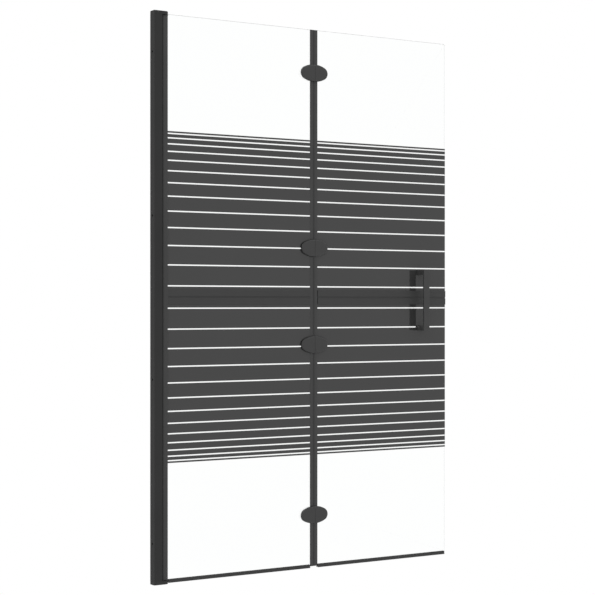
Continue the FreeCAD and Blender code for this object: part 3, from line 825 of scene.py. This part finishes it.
@dataclass
class FoldHinges:
    """One side of the four oval hinges: plates, leaves, gaskets and screws.

    Attributes:
        side: Name of the side, as the CAD nodes have it.
        body: The CAD body that carries it.
        outwards: One where the half lies beyond the fold, minus one before it.
    """

    side: str
    body: str
    outwards: float
    half_length: float = 40.7 * MM
    side_rise: float = 5.9 * MM
    half_seam: float = 0.25 * MM
    front_edge: float = 4.0 * MM
    crown: float = 0.3 * MM
    deepest_inset: float = 16.2 * MM
    seat: float = -3.3 * MM
    front: float = -9.9 * MM
    leaf_seat: float = 3.3 * MM
    leaf_face: float = 9.3 * MM
    leaf_edge: float = 0.6 * MM
    boss_length: float = 24.0 * MM
    half_boss: float = 8.0 * MM
    boss_radius: float = 1.0 * MM
    screw_place: float = 16.0 * MM
    screw_radius: float = 4.6 * MM
    screw_rise: float = 1.6 * MM
    screw_sunk: float = 0.2 * MM
    screw_flat_share: float = 0.55
    key_flat: float = 1.5 * MM
    key_depth: float = 1.2 * MM
    side_points: int = 12
    tip_points: int = 40
    rim_points: int = 9
    crown_points: int = 7
    dome_points: int = 6

    def build(self) -> None:
        """Builds and dresses this side of all four hinges."""
        self.build_front_plates()
        leaf_node = f"{self.side}_hinge_back_leaves"
        leaves = softened(leaf_node, f"{self.side}_knuckle_leaves", self.leaf_edge, steps=3)
        settle(leaves, self.body, HINGE_COAT, leaf_node)
        dress_node(f"{self.side}_hinge_gaskets", SEAL_RUBBER)
        self.build_screws()

    def half_oval(self, insets: np.ndarray) -> np.ndarray:
        """Half of a four-arc oval, drawn in by each inset, with its seam side straight.

        A shallow arc runs from the seam to where it touches the end arc, whose centre
        is on the long axis; the lower side mirrors the upper one. Drawing in takes the
        inset off both radii and leaves the centres where they are.

        Args:
            insets: How far each ring is drawn in.

        Returns:
            One ring of flat points for each inset, about the fold and the hinge's middle.
        """
        end_radius = HALF_HINGE_HEIGHT - self.side_rise
        end_centre = self.half_length - end_radius
        drop = (end_centre**2 - self.side_rise**2) / (2 * self.side_rise)
        slope = math.atan2(drop, end_centre)
        side = drop + HALF_HINGE_HEIGHT - insets[:, None]
        end = end_radius - insets[:, None]
        start = np.arcsin(self.half_seam / side)
        share = np.linspace(0.0, 1.0, self.side_points)
        lean = start + (math.pi / 2 - slope - start) * share
        upper = np.stack([side * np.sin(lean), side * np.cos(lean) - drop], axis=-1)
        swing = slope * np.linspace(1.0, -1.0, self.tip_points)[1:-1]
        tip = np.stack([end_centre + end * np.cos(swing), end * np.sin(swing)], axis=-1)
        lower = upper[:, ::-1] * np.array([1.0, -1.0])
        return np.concatenate([upper, tip, lower], axis=1)

    def build_front_plates(self) -> None:
        """Front plates: half ovals with a rounded rim and a slight crown, and the boss.

        Over the rim's quarter turn a the ring is drawn in by r (1 - cos a) and stands
        r (1 - sin a) behind the crown's foot. Over the crown the ring is drawn in evenly
        and rises by the square of what is left of the way.
        """
        turn = np.linspace(0.0, math.pi / 2, self.rim_points)
        way = np.linspace(0.0, 1.0, self.crown_points)[1:]
        foot = self.front + self.crown
        insets = np.concatenate([
            [0.0],
            self.front_edge * (1.0 - np.cos(turn)),
            self.front_edge + (self.deepest_inset - self.front_edge) * way,
        ])
        depths = np.concatenate([
            [self.seat],
            foot + self.front_edge * (1.0 - np.sin(turn)),
            self.front + self.crown * (1.0 - way) ** 2,
        ])
        plate = self.half_oval(insets)
        near = FOLD + self.outwards * self.half_seam
        far = FOLD + self.outwards * self.boss_length
        left, right = min(near, far), max(near, far)
        shells = Shells()
        for height in HINGE_HEIGHTS:
            rings = np.array([FOLD, height]) + plate * np.array([self.outwards, 1.0])
            shells.add(Plane.FACE.place(rings, depths))
            low, high = height - self.half_boss, height + self.half_boss
            boss = rounded_outline([
                (left, low, self.boss_radius),
                (right, low, self.boss_radius),
                (right, high, self.boss_radius),
                (left, high, self.boss_radius),
            ])
            shells.add(prism(boss, self.seat, self.leaf_seat, Plane.FACE, self.screw_sunk))
        plates = shells.made(f"{self.side}_oval_plates")
        settle(plates, self.body, HINGE_COAT, f"{self.side}_hinge_front_plates")

    def build_screws(self) -> None:
        """Low button heads with a hexagon socket, one on each back leaf."""
        base, top = self.leaf_face - self.screw_sunk, self.leaf_face + self.screw_rise
        floor = top - self.key_depth
        flat = self.screw_radius * self.screw_flat_share
        dome = self.screw_radius - flat
        profile = np.concatenate([
            [(self.screw_radius, base, 0.0)],
            quarter_round(flat, self.leaf_face, dome, self.screw_rise, self.dome_points),
            [(self.key_flat, top, 1.0), (self.key_flat, floor, 1.0)],
            [(self.screw_sunk, floor - self.screw_sunk, 0.0)],
        ])
        place = FOLD + self.outwards * self.screw_place
        shells = Shells()
        for height in HINGE_HEIGHTS:
            shells.add(turned(profile, (place, height), Plane.FACE))
        settle(shells.made(f"{self.side}_leaf_screws"), self.body, SCREW_OXIDE)


@dataclass
class PullHandle:
    """The bar handle with its rubber feet, and the bolts and washers behind the glass."""

    body: str = "outer_panel"
    post_height: float = 13.0 * MM
    bar: float = 5.0 * MM
    corner_radius: float = 0.9 * MM
    edge: float = 0.7 * MM
    inner_radius: float = 2.0 * MM
    foot_edge: float = 0.06 * MM
    bolt_radius: float = 2.5 * MM
    bolt_rim: float = 0.4 * MM
    head_edge: float = 1.1 * MM
    washer_bore: float = 2.65 * MM
    washer_edge: float = 0.25 * MM
    key_flat: float = 2.0 * MM
    key_depth: float = 2.0 * MM
    arc_steps: int = 6
    rim_points: int = 7
    round_points: int = 72

    def build(self) -> None:
        """Builds and dresses the handle and everything that holds it."""
        low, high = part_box("handle")
        centre_x = (low.x + high.x) / 2
        heights = (low.z + self.post_height / 2, high.z - self.post_height / 2)
        centres = [(centre_x, height) for height in heights]
        self.build_bar()
        feet = softened("handle_gaskets", "handle_rubber_feet", self.foot_edge)
        settle(feet, self.body, SEAL_RUBBER, "handle_gaskets")
        self.build_washers(centres)
        self.build_bolts(centres)

    def build_bar(self) -> None:
        """Bar and posts: one bracket-shaped section carried across the handle's width."""
        low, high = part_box("handle")
        back_of_bar = low.y + self.bar
        lower, upper = low.z + self.post_height, high.z - self.post_height
        corners = [
            (low.y, low.z, self.corner_radius),
            (high.y, low.z, self.corner_radius),
            (high.y, lower, self.corner_radius),
            (back_of_bar, lower, self.inner_radius),
            (back_of_bar, upper, self.inner_radius),
            (high.y, upper, self.corner_radius),
            (high.y, high.z, self.corner_radius),
            (low.y, high.z, self.corner_radius),
        ]
        shells = Shells()
        section = rounded_outline(corners, self.arc_steps)
        bar = prism(section, low.x, high.x, Plane.SECTION, self.edge, self.arc_steps)
        shells.add(bar)
        settle(shells.made("handle_grip"), self.body, HANDLE_COAT, "handle")

    def build_washers(self, centres: Sequence[tuple[float, float]]) -> None:
        """Soft washers with a bore, behind the glass.

        Args:
            centres: Place along X and height of each bolt.
        """
        low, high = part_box("handle_washers")
        radius = (high.x - low.x) / 2
        edge = self.washer_edge
        profile = [
            (self.washer_bore, low.y, 0.0),
            (radius - edge, low.y, 0.0),
            (radius, low.y + edge, 0.0),
            (radius, high.y - edge, 0.0),
            (radius - edge, high.y, 0.0),
            (self.washer_bore, high.y, 0.0),
        ]
        shells = Shells()
        for centre in centres:
            ring = turned(profile, centre, Plane.FACE, self.round_points)
            shells.add(ring, looped=True)
        washers = shells.made("handle_soft_washers")
        settle(washers, self.body, SEAL_RUBBER, "handle_washers")

    def build_bolts(self, centres: Sequence[tuple[float, float]]) -> None:
        """Broad-headed bolts with a rounded rim and a hexagon socket.

        Args:
            centres: Place along X and height of each bolt.
        """
        low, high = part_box("handle_bolts")
        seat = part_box("handle_washers")[1].y
        radius = (high.x - low.x) / 2
        edge, floor = self.head_edge, high.y - self.key_depth
        shank = [
            (self.bolt_radius - self.bolt_rim, low.y, 0.0),
            (self.bolt_radius, low.y + self.bolt_rim, 0.0),
            (self.bolt_radius, seat, 0.0),
            (radius, seat, 0.0),
        ]
        profile = np.concatenate([
            shank,
            quarter_round(radius - edge, high.y - edge, edge, edge, self.rim_points),
            [(self.key_flat, high.y, 1.0), (self.key_flat, floor, 1.0)],
            [(self.bolt_rim, floor - self.bolt_rim, 0.0)],
        ])
        shells = Shells()
        for centre in centres:
            shells.add(turned(profile, centre, Plane.FACE, self.round_points))
        settle(shells.made("handle_cap_bolts"), self.body, SCREW_OXIDE, "handle_bolts")


@dataclass(frozen=True)
class Lamp:
    """A square soft lamp.

    Attributes:
        name: Its name.
        place: Where it stands.
        power: Its power in watts.
        size: Length of its side.
    """

    name: str
    place: tuple[float, float, float]
    power: float
    size: float = 2.0


LAMPS = (
    Lamp("key_lamp", (-2.6, -2.6, 3.9), 24.0),
    Lamp("fill_lamp", (2.6, -2.2, 4.3), 14.0),
    Lamp("back_lamp", (0.6, 3.2, 4.2), 16.0),
)


@dataclass
class Studio:
    """Plain white surroundings, soft lamps, a low pale floor and the camera."""

    lens: float = 99.14
    sensor: float = 36.0
    camera_place: tuple[float, float, float] = (-1.87587, -3.54098, 0.68412)
    camera_turn: float = math.radians(32.976)
    shift_up: float = 0.01126
    nearest: float = 0.05
    surroundings: float = 0.86
    white: float = 1.0
    floor_height: float = -0.55
    floor_radius: float = 2.3
    floor_centre: tuple[float, float] = (0.45, 0.0)
    floor_points: int = 96
    floor_tone: float = 0.62
    floor_roughness: float = 0.9
    floor_glow: float = 0.42
    target: tuple[float, float, float] = (0.45, 0.0, 0.7)

    def build(self) -> None:
        """Builds the camera, the world, the lamps and the floor."""
        self.build_camera()
        self.build_world()
        for lamp in LAMPS:
            self.build_lamp(lamp)
        self.build_floor()

    def build_camera(self) -> None:
        """A level camera at the photograph's place, with a small upward shift."""
        lens = bpy.data.cameras.new("camera")
        lens.lens = self.lens
        lens.sensor_width = self.sensor
        lens.shift_y = self.shift_up
        lens.clip_start = self.nearest
        camera = bpy.data.objects.new("camera", lens)
        camera.location = self.camera_place
        camera.rotation_euler = (math.pi / 2, 0.0, -self.camera_turn)
        bpy.context.scene.collection.objects.link(camera)
        bpy.context.scene.camera = camera

    def build_world(self) -> None:
        """White for what is seen or mirrored, and a plain level for the light."""
        world = bpy.data.worlds.new("white_surroundings")
        bpy.context.scene.world = world
        world.use_nodes = True
        nodes, links = world.node_tree.nodes, world.node_tree.links
        light = nodes["Background"]
        light.inputs["Color"].default_value = WHITE
        light.inputs["Strength"].default_value = self.surroundings
        seen = nodes.new("ShaderNodeBackground")
        seen.inputs["Color"].default_value = WHITE
        seen.inputs["Strength"].default_value = self.white
        rays = nodes.new("ShaderNodeLightPath").outputs
        mirrored = either(world.node_tree, rays["Is Camera Ray"], rays["Is Glossy Ray"])
        shown = either(world.node_tree, mirrored, rays["Is Transmission Ray"])
        choice = nodes.new("ShaderNodeMixShader")
        links.new(shown, choice.inputs["Fac"])
        links.new(light.outputs[0], choice.inputs[1])
        links.new(seen.outputs[0], choice.inputs[2])
        links.new(choice.outputs[0], nodes["World Output"].inputs["Surface"])

    def build_lamp(self, lamp: Lamp) -> None:
        """A lamp that looks at the enclosure's middle.

        Args:
            lamp: The lamp's name, place, power and size.
        """
        light = bpy.data.lights.new(lamp.name, "AREA")
        light.size = lamp.size
        light.energy = lamp.power
        stand = bpy.data.objects.new(lamp.name, light)
        away = np.array(lamp.place) - np.array(self.target)
        level = math.hypot(away[0], away[1])
        stand.location = lamp.place
        stand.rotation_euler = (math.atan2(level, away[2]), 0.0, math.atan2(away[0], -away[1]))
        bpy.context.scene.collection.objects.link(stand)

    def build_floor(self) -> None:
        """A pale round floor, well under the camera's view, that keeps its shadow."""
        angle = np.arange(self.floor_points) * (2 * math.pi / self.floor_points)
        x = self.floor_centre[0] + self.floor_radius * np.cos(angle)
        y = self.floor_centre[1] + self.floor_radius * np.sin(angle)
        points = np.stack([x, y, np.full_like(x, self.floor_height)], axis=-1)
        mesh = bpy.data.meshes.new("floor")
        mesh.from_pydata(points.tolist(), [], [list(range(len(points)))])
        floor = bpy.data.objects.new("floor", mesh)
        bpy.context.scene.collection.objects.link(floor)
        made = bpy.data.materials.new("pale_floor")
        made.use_nodes = True
        shader = made.node_tree.nodes["Principled BSDF"]
        shader.inputs["Base Color"].default_value = (self.floor_tone,) * 3 + (1.0,)
        shader.inputs["Roughness"].default_value = self.floor_roughness
        shader.inputs["Specular IOR Level"].default_value = 0.0
        shader.inputs["Emission Color"].default_value = WHITE
        shader.inputs["Emission Strength"].default_value = self.floor_glow
        mesh.materials.append(made)


def main() -> None:
    """Builds every sub-assembly in order, then the studio round them."""
    logging.basicConfig(level=logging.INFO, format="%(message)s")
    bpy.context.scene.view_settings.view_transform = "Standard"
    WallFrame().build()
    PivotPost().build()
    GlassPanel("inner", "inner_panel", -1.0).build()
    GlassPanel("outer", "outer_panel", 1.0).build()
    FoldHinges("inner", "inner_panel", -1.0).build()
    FoldHinges("outer", "outer_panel", 1.0).build()
    PullHandle().build()
    Studio().build()


if __name__ == "__main__":
    main()
